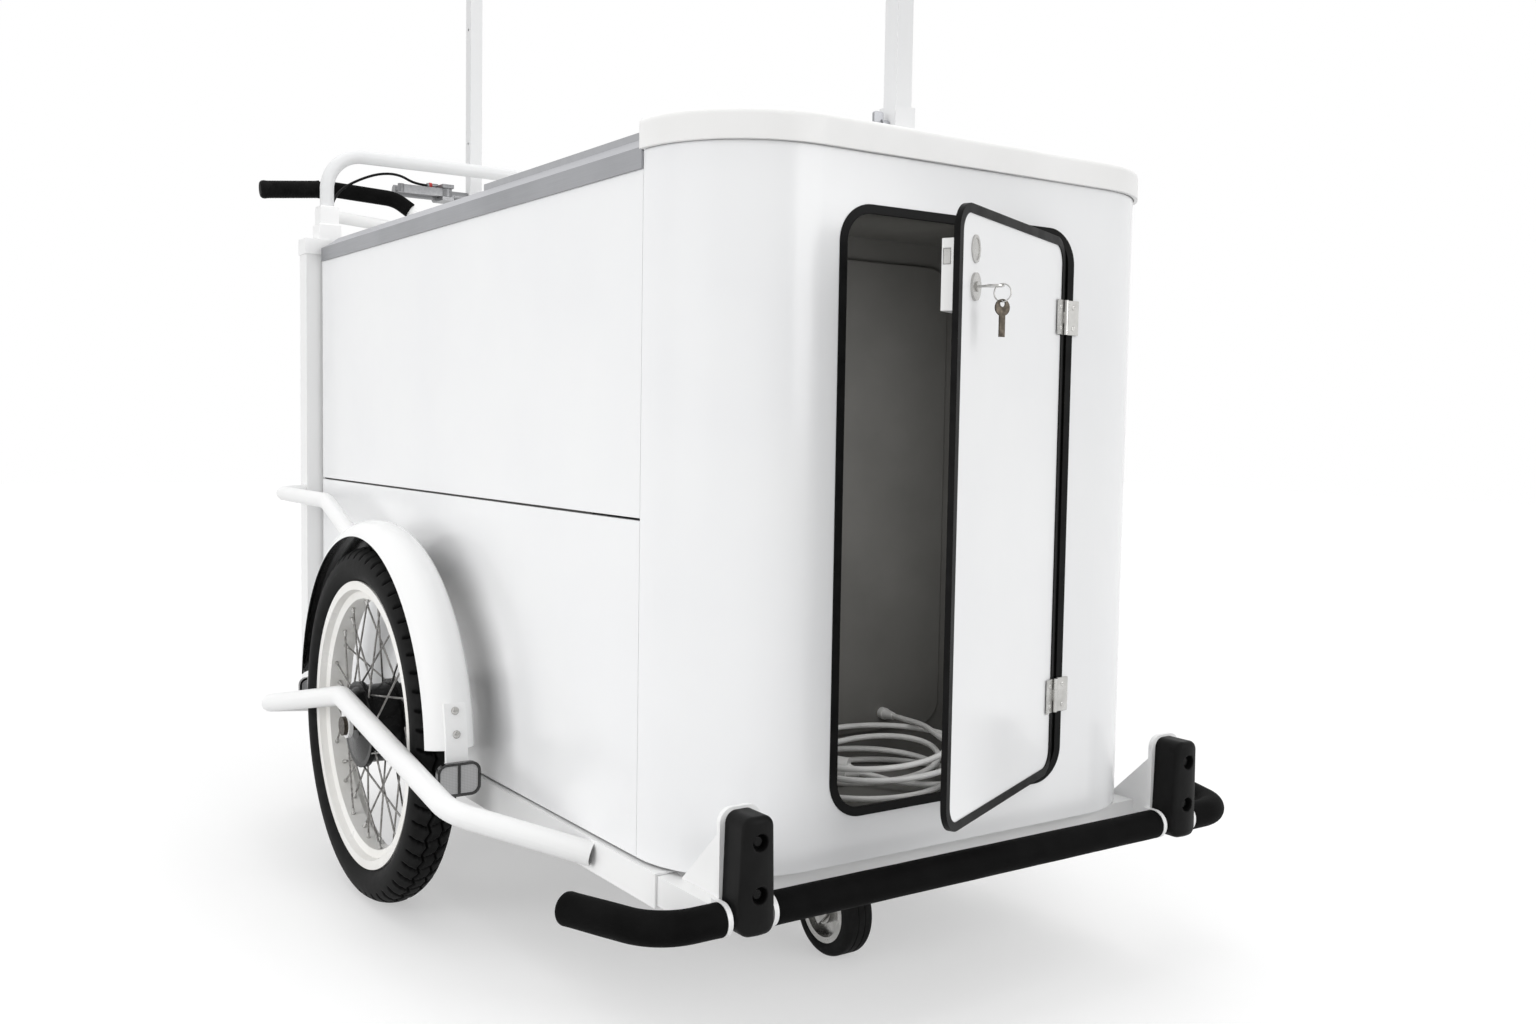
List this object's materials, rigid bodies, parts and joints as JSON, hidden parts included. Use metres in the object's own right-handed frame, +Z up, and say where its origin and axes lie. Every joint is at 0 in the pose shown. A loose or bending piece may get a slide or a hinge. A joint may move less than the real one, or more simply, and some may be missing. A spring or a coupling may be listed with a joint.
{
  "type": "ice cream cart",
  "caption": "Push cart for selling ice cream: insulated cabinet with sliding lids, front storage compartment, spoked wheels, swivel caster and canopy poles",
  "frame": {"origin": "on the floor, in the middle of the box round the cart", "axes": "+Z up, +Y from the door end to the handlebar, +X across the cart to the right of someone who faces the door"},
  "size_m": [1.036, 1.6964, 1.95],
  "materials": {
    "white_panel": "satin",
    "white_moulding": "satin",
    "white_paint": "satin",
    "white_mudguard": "gloss",
    "aluminium": "satin",
    "steel": "satin",
    "spoke_steel": "polished",
    "black_rubber": "matte",
    "tyre": "matte",
    "dark_liner": "matte",
    "black_plastic": "matte",
    "grey_plastic": "satin",
    "foam": "matte",
    "machine": "satin",
    "lens": "gloss"
  },
  "bodies": {
    "cart": {"chassis_rails": "white_paint", "chassis_cross_members": "white_paint", "front_shell": "white_panel", "side_panels": "white_panel", "rear_panel": "white_panel", "rear_frame": "white_paint", "front_cap": "white_moulding", "top_rails": "aluminium", "freezer_tub": "aluminium", "insulation": "foam", "condensing_unit": "machine", "compartment_liner": "dark_liner", "door_frame_trim": "black_rubber", "shell_hinge_leaves": "steel", "wheel_axles": "steel", "guard_rail_left": "white_paint", "guard_rail_right": "white_paint", "mudguard_left": "white_mudguard", "mudguard_right": "white_mudguard", "reflector_brackets": "white_paint", "reflectors": "lens", "bumper_frame": "white_paint", "bumper_foam": "black_rubber", "bumper_rubbers": "black_rubber", "caster_plate": "white_paint", "rear_hoop": "white_paint", "handlebar": "white_paint", "handlebar_grips": "black_rubber", "brake_lever_mount": "steel", "brake_cable": "black_plastic", "pole_sockets": "white_paint", "lead_gland": "grey_plastic", "mains_lead": "grey_plastic", "mains_plug": "grey_plastic"},
    "door": {"door_panel": "white_paint", "door_trim": "black_rubber", "door_hinge_leaves": "steel", "door_fittings": "steel", "lock_case": "black_plastic"},
    "lock_bolt": {"lock_bolt": "steel"},
    "door_key": {"door_key": "steel"},
    "spare_key": {"spare_key": "steel"},
    "lid_front": {"lid_front": "white_moulding"},
    "lid_rear": {"lid_rear": "white_moulding"},
    "wheel_left": {"tyre_left": "tyre", "rim_left": "aluminium", "spokes_left": "spoke_steel", "hub_left": "steel"},
    "wheel_right": {"tyre_right": "tyre", "rim_right": "aluminium", "spokes_right": "spoke_steel", "hub_right": "steel"},
    "caster_swivel": {"caster_fork": "steel"},
    "caster_roller": {"caster_wheel": "grey_plastic", "caster_tyre": "tyre"},
    "brake_lever": {"brake_lever": "steel"},
    "brake_arm": {"brake_arm": "steel"},
    "pole_front": {"pole_front": "white_paint"},
    "pole_rear": {"pole_rear": "white_paint"},
    "clamp_knob": {"clamp_knob": "black_plastic"}
  },
  "joints": [
    {"name": "door_hinge", "type": "hinge", "parent": "cart", "child": "door", "pos_m": [0.155, -0.689, 0.62], "axis": [0, 0, 1], "range_deg": [-25.5, 96]},
    {"name": "key_turn", "type": "hinge", "parent": "door", "child": "door_key", "pos_m": [-0.11323, -0.8114, 0.872], "axis": [0.4305, -0.9026, 0], "range_deg": [0, 90]},
    {"name": "bolt_slide", "type": "slide", "parent": "door", "child": "lock_bolt", "axis": [-0.9026, -0.4305, 0], "range_m": [0, 0.022]},
    {"name": "spare_key_swing", "type": "hinge", "parent": "door_key", "child": "spare_key", "pos_m": [-0.09954, -0.8401, 0.8529], "axis": [0.165, 0.9863, 0], "range_deg": [-20, 95]},
    {"name": "front_lid_slide", "type": "slide", "parent": "cart", "child": "lid_front", "axis": [0, 1, 0], "range_m": [0, 0.62]},
    {"name": "rear_lid_slide", "type": "slide", "parent": "cart", "child": "lid_rear", "axis": [0, -1, 0], "range_m": [0, 0.45]},
    {"name": "left_wheel_spin", "type": "hinge", "parent": "cart", "child": "wheel_left", "pos_m": [-0.45, 0.112, 0.265], "axis": [1, 0, 0], "continuous": true},
    {"name": "right_wheel_spin", "type": "hinge", "parent": "cart", "child": "wheel_right", "pos_m": [0.45, 0.112, 0.265], "axis": [1, 0, 0], "continuous": true},
    {"name": "caster_swivel", "type": "hinge", "parent": "cart", "child": "caster_swivel", "pos_m": [0, -0.477, 0.151], "axis": [0, 0, 1], "continuous": true},
    {"name": "caster_roll", "type": "hinge", "parent": "caster_swivel", "child": "caster_roller", "pos_m": [0, -0.439, 0.0625], "axis": [1, 0, 0], "continuous": true},
    {"name": "brake_lever_pull", "type": "hinge", "parent": "cart", "child": "brake_lever", "pos_m": [-0.074, 0.795, 1.178], "axis": [0, 0, -1], "range_deg": [0, 12], "stiffness_Nm_per_rad": 1.5, "springref_deg": -2.86},
    {"name": "brake_arm_swing", "type": "hinge", "parent": "cart", "child": "brake_arm", "pos_m": [-0.4045, 0.146, 0.257], "axis": [1, 0, 0], "range_deg": [0, 8]},
    {"name": "front_pole_lift", "type": "slide", "parent": "cart", "child": "pole_front", "axis": [0, 0, 1], "range_m": [0, 0.1]},
    {"name": "rear_pole_lift", "type": "slide", "parent": "cart", "child": "pole_rear", "axis": [0, 0, 1], "range_m": [0, 0.1]},
    {"name": "clamp_knob_turn", "type": "hinge", "parent": "cart", "child": "clamp_knob", "pos_m": [-0.026, -0.538, 1.1], "axis": [1, 0, 0], "range_deg": [-180, 180]}
  ],
  "couplings": [
    {"joint": "bolt_slide", "follows": "key_turn", "m_per_rad": 0.014006},
    {"joint": "brake_arm_swing", "follows": "brake_lever_pull", "ratio": 0.66667}
  ]
}
